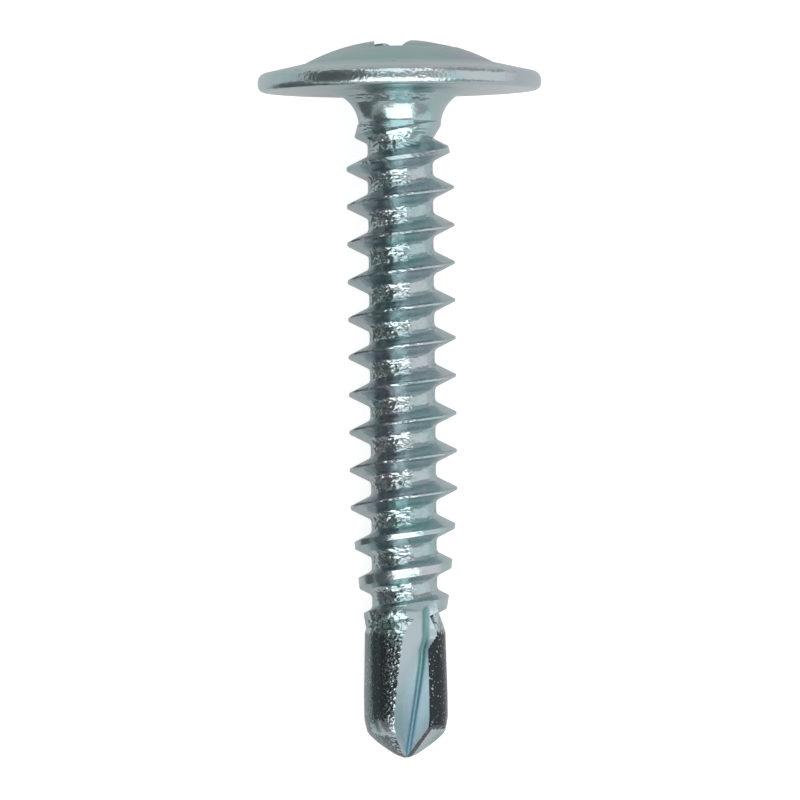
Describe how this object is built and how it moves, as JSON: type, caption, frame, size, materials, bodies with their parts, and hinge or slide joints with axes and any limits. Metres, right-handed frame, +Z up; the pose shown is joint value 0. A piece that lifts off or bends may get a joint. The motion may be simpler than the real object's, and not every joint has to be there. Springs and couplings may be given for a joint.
{
  "type": "self drilling screw",
  "caption": "Wafer head self drilling screw with a cross recess, coarse tapping thread and fluted drill point, in bright plated steel.",
  "frame": {"origin": "bottom centre of the bounding box, on the surface the screw lies on", "axes": "+Z up, +Y towards the head: the screw's axis leans up about 9 degrees from the point to the head"},
  "size_m": [0.0106, 0.0264, 0.0104],
  "materials": {
    "bright_plating": "bright zinc plating on steel"
  },
  "bodies": {
    "root": {"screw": "bright_plating"}
  },
  "joints": []
}
